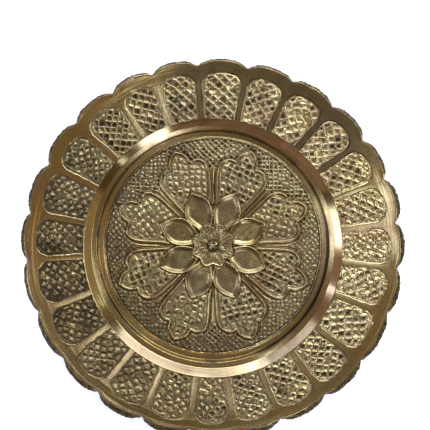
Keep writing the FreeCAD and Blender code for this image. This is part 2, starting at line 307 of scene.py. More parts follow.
def rim_and_lip(bearing):
    """The scalloped silhouette, and the lip above it, which is rounder and meets it at the notches."""
    index, t, _, _ = panel_of(bearing)
    tip = TIP_R - 0.9 * hashed(index, index * 0, 51)
    left = NOTCH_R + 1.6 * (hashed(index, index * 0, 53) - 0.5)
    right = NOTCH_R + 1.6 * (hashed((index + 1) % PANELS, index * 0, 53) - 0.5)
    notch = np.where(t < 0, left, right)
    ragged = 0.26 * rim_noise(bearing, 1.7, 57) + 0.16 * rim_noise(bearing, 0.6, 58)
    lean = draft(bearing)
    rim = tip - (tip - notch) * np.abs(t) ** 3.0 + ragged
    lip = tip - lean - (tip - lean - notch + 0.3 + 0.18 * lean) * np.abs(t) ** 2.2 + 0.3 * ragged
    return rim, np.minimum(lip, rim - 0.35)


# ---------------------------------------------------------------- relief
# Each part of the relief is laid over three values: height, how dark, and how burnished.


def leaf_frame(x, y, bearing):
    """Each point's leaf, and its distances along and across that leaf's axis."""
    leaf = np.floor(bearing / LEAF_TURN).astype(int) % LEAVES
    along, across = polar_frame(x, y, (leaf + 0.5) * LEAF_TURN)
    return leaf, along, across


def depth_in(along, across, half, whole):
    """Distance in from an outline that is the same on both sides of its axis: negative outside."""
    edge = nearest(along, np.abs(across), half)
    return np.where(within(along, across, whole), edge, -edge)


def stippled_ground(x, y, bearing):
    """Fine studs and cells in rows, in eight parts that meet behind the leaves."""
    sectors = np.floor((bearing + LEAF_TURN / 2) / LEAF_TURN).astype(int) % LEAVES
    ground = np.zeros(x.shape)
    for sector, net in enumerate(GROUND_NET):
        mine = sectors == sector
        u, v = polar_frame(x[mine], y[mine], sector * LEAF_TURN)
        angle = 44 + 9 * math.sin(3.1 * sector)
        ground[mine] = lattice(u, v, angle, 3.1, 92, net, 300 + 20 * sector)
    height = 0.45 + 0.6 * ground
    # Painted shade: the ground is darker towards the south-west, away from bearing 60.
    dark = 0.58 - 0.45 * ground + 0.08 * (1 - toward(bearing, 60.0))
    burnish = 0.05 + 0.5 * smooth(-0.05, 0.25, ground)
    return height, dark, burnish


def add_ways(x, y, radius, bearing, height, dark, burnish):
    """The narrow smooth ways between the leaves, which run out to the stippled ground."""
    across = np.abs(polar_frame(x, y, np.round(bearing / LEAF_TURN) * LEAF_TURN)[1])
    on_way = smooth(62.0, 56.0, radius) * smooth(3.6, 2.6, across)
    height = lay(height, 0.25, on_way)
    dark = lay(dark, 0.3, on_way)
    return height, dark, np.maximum(burnish, 0.8 * on_way)


def add_leaves(x, y, bearing, height, dark, burnish):
    """A broad bead, a chased line, a thin bead, then the filling."""
    leaf, along, across = leaf_frame(x, y, bearing)
    edge = depth_in(along, across, HALF_LEAF, LEAF) + 0.35 * noise(x, y, 9.0, 71)
    filling = np.zeros(x.shape)
    for k, (angle, pitch, net) in enumerate(LEAF_HATCH):
        mine = (leaf == k) & (edge > -0.5)
        u, v = polar_frame(x[mine], y[mine], (k + 0.5) * LEAF_TURN)
        filling[mine] = lattice(u, v, angle, pitch, 88, net, 500 + 20 * k)
    filled = smooth(3.8, 4.5, edge)
    pillow = 0.5 * smooth(3.0, 12.0, edge)
    border = smooth(-0.3, 1.0, edge) * smooth(3.3, 1.9, edge)
    leaf_height = 0.45 + 1.3 * border + 0.45 * bump(edge - 3.6, 0.55)
    leaf_height = lay(leaf_height, 0.95 + pillow + 0.88 * filling, filled)
    leaf_dark = 0.4 * bump(edge - 3.0, 0.5) + 0.46 + 0.1 * noise(x, y, 4.0, 74)
    leaf_dark = lay(leaf_dark, 0.54 - 0.42 * filling, filled)
    on_leaf = smooth(-0.25, 0.25, edge)
    groove = bump(edge + 0.5, 1.0)
    height = lay(height, leaf_height, on_leaf) - 0.6 * groove
    dark = np.maximum(lay(dark, leaf_dark, on_leaf), 0.8 * groove)
    burnish = burnish * (1 - on_leaf) + 0.7 * on_leaf * smooth(3.4, 2.8, edge)
    burnish = burnish + 0.5 * on_leaf * filled * smooth(-0.05, 0.25, filling)
    return height, dark, burnish


def add_petals(x, y, radius, bearing, height, dark, burnish):
    """Scooped, with a raised rim, lying over the leaves' roots."""
    _, along, across = leaf_frame(x, y, bearing)
    rim = depth_in(along, across, HALF_PETAL, PETAL) + 0.2 * noise(x, y, 7.0, 73)
    scoop = 0.9 - 0.85 * smooth(1.0, 4.5, rim) + 0.35 * smooth(26.0, 14.0, radius)
    scoop = scoop + 0.05 * noise(x, y, 3.0, 76)
    petal_height = 0.9 + scoop + 0.8 * bump(rim - 0.7, 0.8)
    on_petal = smooth(-0.3, 0.3, rim)
    petal_dark = 0.02 + 0.56 * smooth(0.9, 1.9, rim) + 0.2 * bump(rim - 1.9, 0.6)
    petal_dark = petal_dark + 0.14 * noise(x, y, 5.0, 75)
    # Painted light and shade: petals on the east side are lighter, those on the west darker.
    petal_dark = petal_dark + 0.05 * noise(x, y, 1.6, 78) - 0.08 * np.sin(np.radians(bearing))
    groove = bump(rim + 0.5, 1.0)
    height = lay(height, petal_height, on_petal) - 0.5 * groove * (1 - on_petal)
    dark = np.maximum(lay(dark, petal_dark, on_petal), 0.85 * groove * (1 - on_petal))
    burnish = lay(burnish, 0.45 + 0.45 * smooth(1.7, 1.0, rim), on_petal)
    return height, dark, burnish


def add_rosette(x, y, radius, bearing, height, dark, burnish):
    """Eight shallow lobes cut with flutes, round a flat seat for the stud's head."""
    turn = np.radians(bearing - LEAF_TURN / 2)
    lobe_r = 15.6 + 1.3 * np.cos(turn * LEAVES) + 0.3 * noise(x, y, 4.0, 77)
    inside = lobe_r - radius
    flutes = np.cos(turn * 4 * LEAVES + 0.8 * noise(x, y, 6.0, 79)) * smooth(4.0, 7.5, radius)
    cup = 1.9 + 0.9 * smooth(7.0, 0.0, inside) * smooth(4.0, 10.0, radius) + 0.18 * np.cos(turn * LEAVES)
    rosette = cup + 0.10 * flutes * smooth(0.4, 2.0, inside) + 0.35 * bump(inside - 0.6, 0.8)
    rosette = rosette + 0.07 * noise(x, y, 1.8, 80)
    rosette = rosette * smooth(2.6, 4.4, radius) + 2.5 * (1 - smooth(2.6, 4.4, radius))
    on_rosette = smooth(-0.3, 0.3, inside)
    groove = bump(inside + 0.5, 0.9)
    height = lay(height, rosette, on_rosette) - 0.4 * groove
    # Painted shade: darker within about 6 mm of the middle, round the stud's head.
    flute_dark = 0.56 - 0.1 * flutes + 0.55 * smooth(6.2, 4.0, radius) + 0.12 * noise(x, y, 2.2, 82)
    dark = np.maximum(lay(dark, flute_dark, on_rosette), 0.8 * groove)
    return height, dark, lay(burnish, 0.4, on_rosette)


def add_turned_edge(x, y, radius, bearing, height, dark, burnish):
    """The turned edge of the medallion, its bead higher towards bearing 100, where the edge is painted
    lighter as a highlight; away from there it is painted darker, as shade.
    """
    border = MEDALLION_R - radius + 0.25 * noise(x, y, 3.0, 81)
    # rubbed is 1 at bearing 100 and -1 opposite: it sets the bead's height, the edge's painted highlight and
    # its painted shade.
    rubbed = toward(bearing, 100.0)
    height = height * smooth(0.2, 2.2, border) + (0.6 + 0.25 * rubbed) * bump(border - 0.6, 0.7)
    dark = dark * smooth(0.8, 1.6, border) + 0.55 * bump(border - 1.6, 0.8)
    edge_dark = 0.02 + 0.24 * (1 - rubbed) + 0.3 * noise(x, y, 9.0, 83)
    dark = dark + smooth(1.4, 0.8, border) * edge_dark
    return height, dark, np.maximum(burnish, smooth(1.0, 0.4, border))


def relief_medallion(x, y):
    """The middle of the tray, with heights over the well's floor."""
    radius = np.hypot(x, y)
    bearing = bearing_of(x, y)
    layers = stippled_ground(x, y, bearing)
    layers = add_ways(x, y, radius, bearing, *layers)
    layers = add_leaves(x, y, bearing, *layers)
    layers = add_petals(x, y, radius, bearing, *layers)
    layers = add_rosette(x, y, radius, bearing, *layers)
    return add_turned_edge(x, y, radius, bearing, *layers)


def panel_depths(x, y, u, v, half):
    """Distances in from the straight sides of a panel, from its arch too, and from its whole outline."""
    width = v * np.tan(np.radians(half)) - BAR_HALF - 0.25 * noise(x, y, 11.0, 91)
    across = width - np.abs(u)
    crown = np.clip((v - ARCH_SPRING) / (ARCH_TIP - ARCH_SPRING), 0, 4)
    lean = (np.clip(np.abs(u) / width, 0, 3) ** 2.3 + crown ** 2.1) ** (1 / 2.2)
    arch = (1 - lean) * (ARCH_TIP - ARCH_SPRING)
    side = np.where(v > ARCH_SPRING, np.minimum(arch, across), across)
    side = side + 0.3 * noise(x, y, 4.0, 93) + 0.2 * noise(x, y, 1.6, 87)
    inner = v - ARCH_INNER + 0.45 * noise(x, y, 1.5, 94) + 0.4 * noise(x, y, 5.0, 96)
    return across, side, np.minimum(side, inner)


def panel_relief(x, y, bearing, index, u, v, side, edge):
    """The panels' filling, and the thin bead inside their edge. They are darker towards the west, as
    painted shade, and lighter round bearing 86, as painted light.
    """
    filling = np.zeros(x.shape)
    for k, (angle, pitch, net) in enumerate(PANEL_HATCH):
        mine = (index == k) & (edge > -0.5)
        filling[mine] = lattice(u[mine], v[mine], angle, pitch, 98, net, 700 + 20 * k)
    west = 0.5 - 0.5 * toward(bearing, 75.0)
    filled = smooth(1.1, 1.8, side)
    # The bead's lighter tone, which grows towards the east with the bead, is partly rubbed metal and partly a
    # painted highlight.
    bead = bump(side - 0.85, 0.6) * (0.75 - 0.65 * west) * smooth(-0.5, 0.4, noise(x, y, 5.0, 92))
    height = lay(-0.38 + 0.55 * bead, -0.12 + 1.05 * filling, filled)
    # Towards the east the filling's tops are painted lighter, a painted highlight, and its cells darker.
    dark = lay(0.42 - 0.65 * bead, 0.30 - (0.56 - 0.32 * west) * filling, filled)
    # Painted shade towards the west and round bearing 274, and painted light round bearing 86.
    dark = dark + (0.44 - 0.3 * smooth(0.05, 0.3, filling)) * west + 0.12 * noise(x, y, 13.0, 90)
    dark = dark - 0.3 * smooth(40, 10, apart(bearing, 86.0)) + 0.16 * smooth(42, 24, apart(bearing, 274.0))
    return height, dark, 0.55 * filled * smooth(-0.05, 0.25, filling)


def plain_relief(x, y, radius, bearing, lip_r, across, edge):
    """The bars, a little crowned, and the outer band, hollowed up to the lip."""
    bar = 0.02 * bump(across + BAR_HALF, 2.4)
    out = np.clip((radius - HOLLOW_R) / np.maximum(lip_r - HOLLOW_R, 1.0), 0, 1)
    lines = 0.02 * noise(radius, bearing * 0.06, 0.9, 88) * smooth(118, 130, radius)
    band = 0.24 * out ** 6 - 0.2 * out + lines
    height = bar * (1 - smooth(122, 128, radius)) + band
    # Painted shade: bars and band darker round bearing 24.5, and the outer band darker towards the south;
    # they are also a little darker round bearing 140.
    south = 0.5 - 0.5 * toward(bearing, 30.0)
    dark = 0.16 + 0.55 * smooth(45, 31, apart(bearing, 24.5)) + 0.1 * smooth(26, 16, apart(bearing, 140.0))
    dark = dark + 0.3 * south ** 2 * smooth(116, 126, radius) + 0.1 * noise(x, y, 6.0, 95)
    dark = dark + 0.38 * bump(edge + 0.25, 0.8) * smooth(-0.9, 0.3, noise(x, y, 7.0, 89))
    return height, dark, 0.9


def relief_brim(x, y, radius, bearing, lip_r):
    """The brim's panels, bars and smooth band, with heights over its slope."""
    index, _, half, centre = panel_of(bearing)
    v, u = polar_frame(x, y, centre)
    across, side, edge = panel_depths(x, y, u, v, half)
    plain = plain_relief(x, y, radius, bearing, lip_r, across, edge)
    panel = panel_relief(x, y, bearing, index, u, v, side, edge)
    on_panel = smooth(-0.3, 0.3, edge)
    return [lay(under, over, on_panel) for under, over in zip(plain, panel)]


def base_height(radius):
    """The casting's turned profile: floor, steep step, shallow cove, bevel, brim."""
    profile = [
        (0, FLOOR_Z), (STEP_R - 0.75, FLOOR_Z + 0.05), (STEP_R - 0.6, FLOOR_Z + 0.4),
        (STEP_R - 0.2, STEP_Z - 0.4), (STEP_R, STEP_Z),
        (MID_R - 0.06, MID_Z - 0.02), (MID_R + 0.06, MID_Z + 0.04),
        (BRIM_R - 0.1, BRIM_Z - 0.07), (BRIM_R + 0.15, BRIM_Z + 0.02),
        (PROFILE_END_R, BRIM_Z + (PROFILE_END_R - BRIM_R) * BRIM_SLOPE),
    ]
    return np.interp(radius, *zip(*profile))


def unevenness(x, y):
    """Slow waves left by casting, turning and use."""
    return 0.10 * noise(x, y, 46.0, 11) + 0.05 * noise(x, y, 21.0, 12) + 0.018 * noise(x, y, 9.0, 13)


def settle(x, y):
    """The rim is a little wider than it is deep, and the brim sits a little forward, as by hand."""
    radius = np.hypot(x, y)
    reach = smooth(96.0, 138.0, radius)
    return x * (1 + 0.0057 * reach), y * (1 - 0.0040 * reach) - 1.2 * smooth(86.0, 98.0, radius)


# ---------------------------------------------------------------- mesh building


class Skin:
    """Rings of points joined one after another into a single closed surface."""

    def __init__(self):
        self.points, self.tones, self.counts = [], [], []

    def ring(self, x, y, z, dark, burnish, cast):
        x, y = settle(x, y)
        self.points.append(np.stack([x, y, z], 1))
        self.tones.append(np.stack([dark, burnish, cast], 1))
        self.counts.append(len(x))

    def faces(self, loop=True):
        starts = np.concatenate([[0], np.cumsum(self.counts)])
        rings = len(self.counts)
        out = []
        for k in range(rings if loop else rings - 1):
            after = (k + 1) % rings
            na, nb = self.counts[k], self.counts[after]
            events = np.concatenate([(np.arange(na) + 0.5) / na, (np.arange(nb) + 0.5) / nb])
            on_a = np.concatenate([np.ones(na, bool), np.zeros(nb, bool)])
            order = np.argsort(events, kind="stable")
            on_a = on_a[order]
            i = np.cumsum(on_a) - on_a
            j = np.cumsum(~on_a) - ~on_a
            third = np.where(on_a, starts[k] + (i + 1) % na, starts[after] + (j + 1) % nb)
            out.append(np.stack([starts[k] + i % na, starts[after] + j % nb, third], 1))
        out = np.concatenate(out)
        return out[(out[:, 0] != out[:, 2]) & (out[:, 1] != out[:, 2])]

    def piece(self, name, loop=True):
        tones = np.concatenate(self.tones)
        layers = {"dark": tones[:, 0], "burnish": tones[:, 1], "cast": tones[:, 2]}
        return mesh_object(name, np.concatenate(self.points), self.faces(loop), layers)


def mesh_object(name, points, faces, layers):
    """A smooth mesh object in metres from arrays, with one float attribute for each named layer."""
    mesh = bpy.data.meshes.new(name)
    corners = faces.shape[1]
    mesh.vertices.add(len(points))
    mesh.vertices.foreach_set("co", (points * MM).astype(np.float32).ravel())
    mesh.loops.add(faces.size)
    mesh.loops.foreach_set("vertex_index", faces.astype(np.int32).ravel())
    mesh.polygons.add(len(faces))
    mesh.polygons.foreach_set("loop_start", np.arange(0, faces.size, corners, dtype=np.int32))
    mesh.polygons.foreach_set("use_smooth", np.full(len(faces), True))
    for layer, values in layers.items():
        attribute = mesh.attributes.new(layer, "FLOAT", "POINT")
        attribute.data.foreach_set("value", values.astype(np.float32))
    mesh.update(calc_edges=True)
    mesh.validate()
    piece = bpy.data.objects.new(name, mesh)
    bpy.context.collection.objects.link(piece)
    return piece


def ring_points(radius, count):
    """Points round a ring, anticlockwise from +X, as seen from above."""
    angle = np.arange(count) * (2 * math.pi / count)
    x, y = radius * np.cos(angle), radius * np.sin(angle)
    return x, y, bearing_of(x, y)


def wall_tones(x, y, radius, bearing):
    """How dark and how burnished the well's wall is: painted shade that differs from band to band, a
    dark line along the crease at the step's foot, heaviest towards bearing 115, and grime just above the
    step.
    """
    crease = math.exp(-(((radius - STEP_R + 0.3) / 0.55) ** 2))
    above_step = math.exp(-(((radius - STEP_R - 0.6) / 1.3) ** 2))
    grime = smooth(-0.2, 0.6, noise(x, y, 11.0, 84)) * above_step
    shade = 0.42 if radius < STEP_R else (0.3 if radius < MID_R else 0.08)
    east = smooth(55, 20, apart(bearing, 115.0)) + 0.3 * noise(x, y, 12.0, 86)
    dark = shade + (0.2 + 0.5 * east) * crease + 0.4 * grime + 0.1 * noise(x, y, 8.0, 97)
    return dark, np.full(len(x), 0.75 if radius < MID_R else 1.0)


def add_middle(skin):
    """Rings of evenly spaced points from the stud's hole to the brim, closer at the profile's corners."""
    radii = np.concatenate([
        np.arange(HOLE_R, STEP_R - 1.0, STEP), STEP_R + np.arange(-0.8, 0.2, 0.13),
        np.arange(STEP_R + 0.5, MID_R - 0.3, STEP), MID_R + np.arange(-0.18, 0.2, 0.12),
        np.arange(MID_R + 0.6, BRIM_R - 0.4, STEP), BRIM_R + np.arange(-0.22, 0.2, 0.12),
    ])
    for radius in radii:
        count = max(40, int(round(2 * math.pi * radius / STEP)))
        x, y, bearing = ring_points(radius, count)
        if radius < MEDALLION_R + 0.4:
            height, dark, burnish = relief_medallion(x, y)
        else:
            height = np.zeros(count)
            dark, burnish = wall_tones(x, y, radius, bearing)
        skin.ring(x, y, base_height(radius) + height + unevenness(x, y), dark, burnish, np.zeros(count))


def add_brim(skin, unit_x, unit_y, bearing, lip):
    """The same number of points on every ring, so that they follow the scallops. Gives the lip's height."""
    outer = TIP_R - 2.0
    for row in range(1, BRIM_ROWS + 1):
        even = BRIM_R + (outer - BRIM_R) * row / BRIM_ROWS
        reach = (even - FOLLOW_R) / (outer - FOLLOW_R)
        radius = np.where(even > FOLLOW_R, FOLLOW_R + (lip - FOLLOW_R) * reach, even)
        x, y = unit_x * radius, unit_y * radius
        height, dark, burnish = relief_brim(x, y, radius, bearing, lip)
        z = base_height(radius) + height + unevenness(x, y)
        skin.ring(x, y, z, dark, burnish, np.zeros(len(x)))
    return z


def add_rim_side(skin, unit_x, unit_y, bearing, rim, lip, lip_z):
    """The rough cast side, leaning out and down, then back under, rubbed bright beside some notches."""
    _, t, _, _ = panel_of(bearing)
    rough = 0.5 * rim_noise(bearing, 0.9, 63) + 0.5 * rim_noise(bearing, 2.2, 64)
    worn = smooth(0.35, 0.8, rim_noise(bearing, 6.5, 66)) * 0.35
    nicked = smooth(-0.2, 0.3, rim_noise(bearing, 30.0, 67) - toward(bearing, 235))
    nick = smooth(0.72, 0.9, t) * nicked
    front = smooth(55, 110, bearing) * smooth(335, 270, bearing)
    for share, drop, cast in RIM_SIDE:
        mottle = smooth(-0.9 - 0.5 * front, -0.35 - 0.4 * front, rim_noise(bearing, 1.3, 68, 6 * drop))
        free = min(1.0, drop / 0.5) * (drop < 3.0)
        grit = 0.4 * rim_noise(bearing, 1.0, 65, 7 * drop) * free
        radius = lip + (rim - lip) * share
        x, y = unit_x * (radius + grit), unit_y * (radius + grit)
        z = lip_z - drop + 0.42 * rough * free * (1 - share ** 4)
        rubbed = np.clip(worn * (share < 0.3) + nick * (share < 0.9), 0, 1)
        dark = 0.6 - 0.55 * rubbed + 0.5 * grit
        burnish = 0.3 * (1 - cast) + 0.3 * rubbed
        skin.ring(x, y, z, dark, burnish, cast * mottle * (1 - 0.9 * rubbed))


def add_underside(skin):
    """Coarser rings back to the hole, flat where the foot is seated."""
    for radius in np.arange(134.0, HOLE_R - 0.1, -0.95):
        count = max(40, int(round(2 * math.pi * radius / 1.2)))
        x, y, _ = ring_points(radius, count)
        low = DISH_LOW[2] + np.interp(radius, *zip(*UNDER_PROFILE))
        off_seat = smooth(41.0, 46.0, radius)
        sand = 0.07 * noise(x, y, 2.4, 99) + 0.10 * noise(x, y, 9.0, 100)
        turned = 0.035 * math.sin(2.1 * radius) + 0.03 * math.sin(5.3 * radius)
        wave = off_seat * (sand + turned) + 0.17 * off_seat
        tone = 0.42 + 0.25 * noise(x, y, 14.0, 98) + 1.2 * sand
        skin.ring(x, y, low + wave, tone, np.full(count, 0.45), np.full(count, 0.35))


def build_dish():
    """The whole casting as one closed surface, made from the hole outwards and back underneath."""
    skin = Skin()
    add_middle(skin)
    unit_x, unit_y, bearing = ring_points(1.0, POINTS_PER_PANEL * PANELS)
    rim, lip = rim_and_lip(bearing)
    lip_z = add_brim(skin, unit_x, unit_y, bearing, lip)
    add_rim_side(skin, unit_x, unit_y, bearing, rim, lip, lip_z)
    add_underside(skin)
    return skin.piece("dish_casting")


def divided(corners, grain):
    """A closed chain of (radius, height) corners as closely spaced points with outward normals, its
    corners eased."""
    rows = []
    for (r0, z0), (r1, z1) in zip(corners, corners[1:] + corners[:1]):
        length = math.hypot(r1 - r0, z1 - z0)
        ease = min(0.12, length / 4)
        steps = max(1, int(round((length - 2 * ease) / grain)))
        for k in range(steps + 1):
            t = (ease + (length - 2 * ease) * k / steps) / length
            rows.append((r0 + (r1 - r0) * t, z0 + (z1 - z0) * t, (z0 - z1) / length, (r1 - r0) / length))
    return rows


def build_turned(name, corners, low, grain, count, lathe, burnish):
    """A ring-shaped piece from a profile that goes out over its top and back under it."""
    skin = Skin()
    travelled = 0.0
    last = corners[0]
    for r, z, nr, nz in divided(corners, grain):
        travelled += math.hypot(r - last[0], z - last[1])
        last = (r, z)
        x, y, _ = ring_points(r, count)
        groove = lathe * float(noise(np.array([travelled]), np.zeros(1), 0.8, 111)[0])
        cut = groove + 0.5 * lathe * noise(x, y + z, 3.0, 112)
        tone = 0.3 - 0.16 * cut / lathe + 0.16 * noise(x, y + z, 9.0, 113)
        push = 1 + nr * cut / r
        height = np.full(count, low + z) + nz * cut
        skin.ring(x * push, y * push, height, tone, np.full(count, burnish), np.full(count, 0.2))
    return skin.piece(name)


def build_foot():
    """The turned ring, waisted outside and hollow below, and the web that the stud passes through."""
    tall = FOOT_HIGH[2] - FOOT_LOW[2]
    out = FOOT_HIGH[0]
    web_z = tall - 2.6
    corners = [
        (HOLE_R, tall), (39.0, tall), (39.0, 0.88 * tall), (36.9, 0.80 * tall), (36.5, 0.66 * tall),
        (42.5, 0.42 * tall), (49.5, 0.26 * tall), (51.5, 0.21 * tall), (out, 0.17 * tall), (out, 0.6),
        (out - 0.6, 0), (46.5, 0), (44.5, 0.18 * tall), (33.7, 0.62 * tall), (33.7, web_z), (HOLE_R, web_z),
    ]
    return build_turned("foot_turned", corners, FOOT_LOW[2], 0.4, 360, 0.03, 0.7)


def build_washer():
    out, _, top = WASHER_HIGH
    low = WASHER_LOW[2]
    tall = top - low
    hole, ease = 3.2, 0.2
    corners = [
        (hole, tall), (out - ease, tall), (out, tall - ease), (out, ease), (out - ease, 0), (hole, 0),
    ]
    return build_turned("washer_plain", corners, low, 0.25, 160, 0.012, 0.8)


def build_nut():
    """A chamfered hexagonal nut, its faces lightly marked by a spanner."""
    skin = Skin()
    tall = NUT_HIGH[2] - NUT_LOW[2]
    wide = [NUT_HIGH[k] - NUT_LOW[k] for k in (0, 1)]
    flat = min(wide) / 2
    first = 0.0 if wide[0] > wide[1] else 30.0
    count = 192
    angle = np.arange(count) * (360.0 / count)
    hexagon = flat / np.cos(np.radians((angle - first) % 60.0 - 30.0))
    heights = np.concatenate([
        np.arange(0.0, 1.2, 0.15), np.arange(1.2, tall - 1.2, 0.3), np.arange(tall - 1.2, tall + 0.01, 0.15),
    ])
    unit_x, unit_y = np.cos(np.radians(angle)), np.sin(np.radians(angle))

    def add(radius, z, tone, burnish):
        x, y = unit_x * radius, unit_y * radius
        marks = 0.1 * noise(x + z, y, 1.2, 121)
        height = np.full(count, NUT_LOW[2] + z)
        skin.ring(x, y, height, tone + marks, np.full(count, burnish), np.full(count, 0.15))

    for radius in np.arange(3.35, flat - 0.3, 0.3):
        add(np.full(count, radius), tall, 0.25, 0.7)
    for z in heights[::-1]:
        chamfer = flat - 0.2 + 1.7 * min(z, tall - z)
        dents = 0.03 * smooth(0.3, 0.9, noise(unit_x * 6, unit_y * 6 + z, 1.5, 122))
        add(np.minimum(hexagon, chamfer) - dents, z, 0.22, 0.6)
    for radius in np.arange(flat - 0.45, 3.3, -0.3):
        add(np.full(count, radius), 0.0, 0.25, 0.7)
    for z in np.arange(0.0, tall + 0.01, 0.1):
        thread = 0.22 * np.abs(((z / 1.0 + angle / 360.0) % 1.0) * 2 - 1)
        add(3.02 + thread, z, 0.5, 0.3)
    return skin.piece("nut_hexagonal")


def build_stud():
    """The stud: a threaded tail below, a plain shank, and a head hammered over on the rosette."""
    skin = Skin()
    count = 120
    angle = np.arange(count) * (2 * math.pi / count)
    unit_x, unit_y = np.cos(angle), np.sin(angle)
    foot, head = STUD_LOW[2], STUD_HIGH[2]
    seat = head - 1.6
    shank = 3.0

    def add(radius, z, tone, burnish, cast, pitted):
        x, y = unit_x * radius, unit_y * radius
        pits = pitted * (0.6 * noise(x, y, 1.7, 131) + 0.5 * noise(x, y, 0.8, 132))
        height = np.full(count, z) + 0.85 * pits - 0.4 * pitted
        push = 1 + pits * 0.10
        tones = tone - 2.4 * pits, np.full(count, burnish), np.full(count, cast)
        skin.ring(x * push, y * push, height, *tones)

    def tip(z, tone):
        skin.ring(np.zeros(1), np.zeros(1), np.full(1, z), np.full(1, tone), np.full(1, 0.3), np.zeros(1))

    tip(head - 0.55, 0.9)
    for t in np.linspace(0.04, 1.0, 26):
        rise = math.sqrt(max(0.0, 1 - t ** 2.6))
        pitted = min(1.0, 4 * (1 - t) + 0.25)
        add(3.75 * t, seat + 0.15 + (head - seat - 0.2) * rise, 0.85, 0.6, 0.0, pitted)
    # Painted shade: the underside of the head's rim, where it sits on the rosette, is dark.
    add(np.full(count, 3.7), seat + 0.03, 0.8, 0.1, 0.2, 0.0)
    add(np.full(count, 3.2), seat + 0.02, 0.8, 0.1, 0.2, 0.0)
    for z in np.arange(seat - 0.1, foot + 4.6, -0.5):
        add(np.full(count, shank), z, 0.5, 0.3, 0.2, 0.0)
    for z in np.arange(foot + 4.5, foot + 0.55, -0.1):
        thread = 0.24 * np.abs(((z / 1.0 + angle / (2 * math.pi)) % 1.0) * 2 - 1)
        add(shank - thread, z, 0.35 + thread, 0.6, 0.0, 0.0)
    for t in np.linspace(0.0, 1.0, 5):
        add(np.full(count, shank - 0.1 - 0.5 * t), foot + 0.5 * (1 - t), 0.35, 0.6, 0.0, 0.0)
    for radius in np.arange(2.1, 0.2, -0.4):
        add(np.full(count, radius), foot, 0.35, 0.6, 0.0, 0.0)
    tip(foot, 0.35)
    return skin.piece("stud_peened", loop=False)


# ---------------------------------------------------------------- materials


class Nodes:
    """A short way to write a material's node tree."""

    def __init__(self, name):
        self.material = bpy.data.materials.new(name)
        self.material.use_nodes = True
        self.tree = self.material.node_tree
        self.tree.nodes.clear()
        self.shader = self.add("ShaderNodeBsdfPrincipled")
        output = self.add("ShaderNodeOutputMaterial")
        self.link(self.shader.outputs["BSDF"], output.inputs["Surface"])
        self.position = self.add("ShaderNodeNewGeometry").outputs["Position"]

    def add(self, kind, **settings):
        node = self.tree.nodes.new(kind)
        for key, value in settings.items():
            setattr(node, key, value)
        return node

    def link(self, source, target):
        self.tree.links.new(source, target)

    def put(self, socket, value):
        if isinstance(value, bpy.types.NodeSocket):
            self.link(value, socket)
        else:
            socket.default_value = value

    def maths(self, operation, a, b=0.0, clamp=False):
        node = self.add("ShaderNodeMath", operation=operation, use_clamp=clamp)
        self.put(node.inputs[0], a)
        self.put(node.inputs[1], b)
        return node.outputs[0]

    def noise(self, scale, detail=3.0, roughness=0.55):
        node = self.add("ShaderNodeTexNoise")
        node.inputs["Scale"].default_value = scale
        node.inputs["Detail"].default_value = detail
        node.inputs["Roughness"].default_value = roughness
        self.link(self.position, node.inputs["Vector"])
        return node.outputs["Fac"]

    def spread(self, value, low, high, to_low=0.0, to_high=1.0):
        node = self.add("ShaderNodeMapRange", clamp=True)
        self.put(node.inputs["Value"], value)
        for key, number in zip(("From Min", "From Max", "To Min", "To Max"), (low, high, to_low, to_high)):
            self.put(node.inputs[key], number)
        return node.outputs["Result"]

    def mix(self, factor, a, b):
        node = self.add("ShaderNodeMix", data_type="RGBA")
        self.put(node.inputs["Factor"], factor)
        self.put(node.inputs["A"], a)
        self.put(node.inputs["B"], b)
        return node.outputs["Result"]

    def layer(self, name):
        return self.add("ShaderNodeAttribute", attribute_name=name).outputs["Fac"]

    def rings(self, per_metre):
        """Fine turning lines round the Z axis."""
        split = self.add("ShaderNodeSeparateXYZ")
        self.link(self.position, split.inputs[0])
        flat = self.add("ShaderNodeCombineXYZ")
        self.link(split.outputs["X"], flat.inputs["X"])
        self.link(split.outputs["Y"], flat.inputs["Y"])
        length = self.add("ShaderNodeVectorMath", operation="LENGTH")
        self.link(flat.outputs[0], length.inputs[0])
        along = self.add("ShaderNodeCombineXYZ")
        self.link(self.maths("MULTIPLY", length.outputs["Value"], per_metre), along.inputs["X"])
        self.link(self.maths("MULTIPLY", self.noise(18.0, 1.0), 2.2), along.inputs["Y"])
        node = self.add("ShaderNodeTexNoise")
        node.inputs["Scale"].default_value = 1.0
        node.inputs["Detail"].default_value = 2.0
        self.link(along.outputs[0], node.inputs["Vector"])
        return node.outputs["Fac"]

    def bump(self, height, distance):
        node = self.add("ShaderNodeBump")
        node.inputs["Strength"].default_value = 1.0
        node.inputs["Distance"].default_value = distance
        self.link(height, node.inputs["Height"])
        self.link(node.outputs["Normal"], self.shader.inputs["Normal"])


def colour(red, green, blue):
    """A colour given as it is seen on a screen, from 0 to 255, made linear."""
    shares = red / 255, green / 255, blue / 255
    linear = [c / 12.92 if c <= 0.04045 else ((c + 0.055) / 1.055) ** 2.4 for c in shares]
    return (*linear, 1.0)


GOLDEN = colour(198, 168, 112)
# Grime and patina, and also the colour of the painted shade that the dark layer carries.
GRIME_AND_SHADE = colour(62, 47, 30)
CAST_HOLLOW, CAST_GRAIN = colour(34, 26, 13), colour(172, 142, 86)


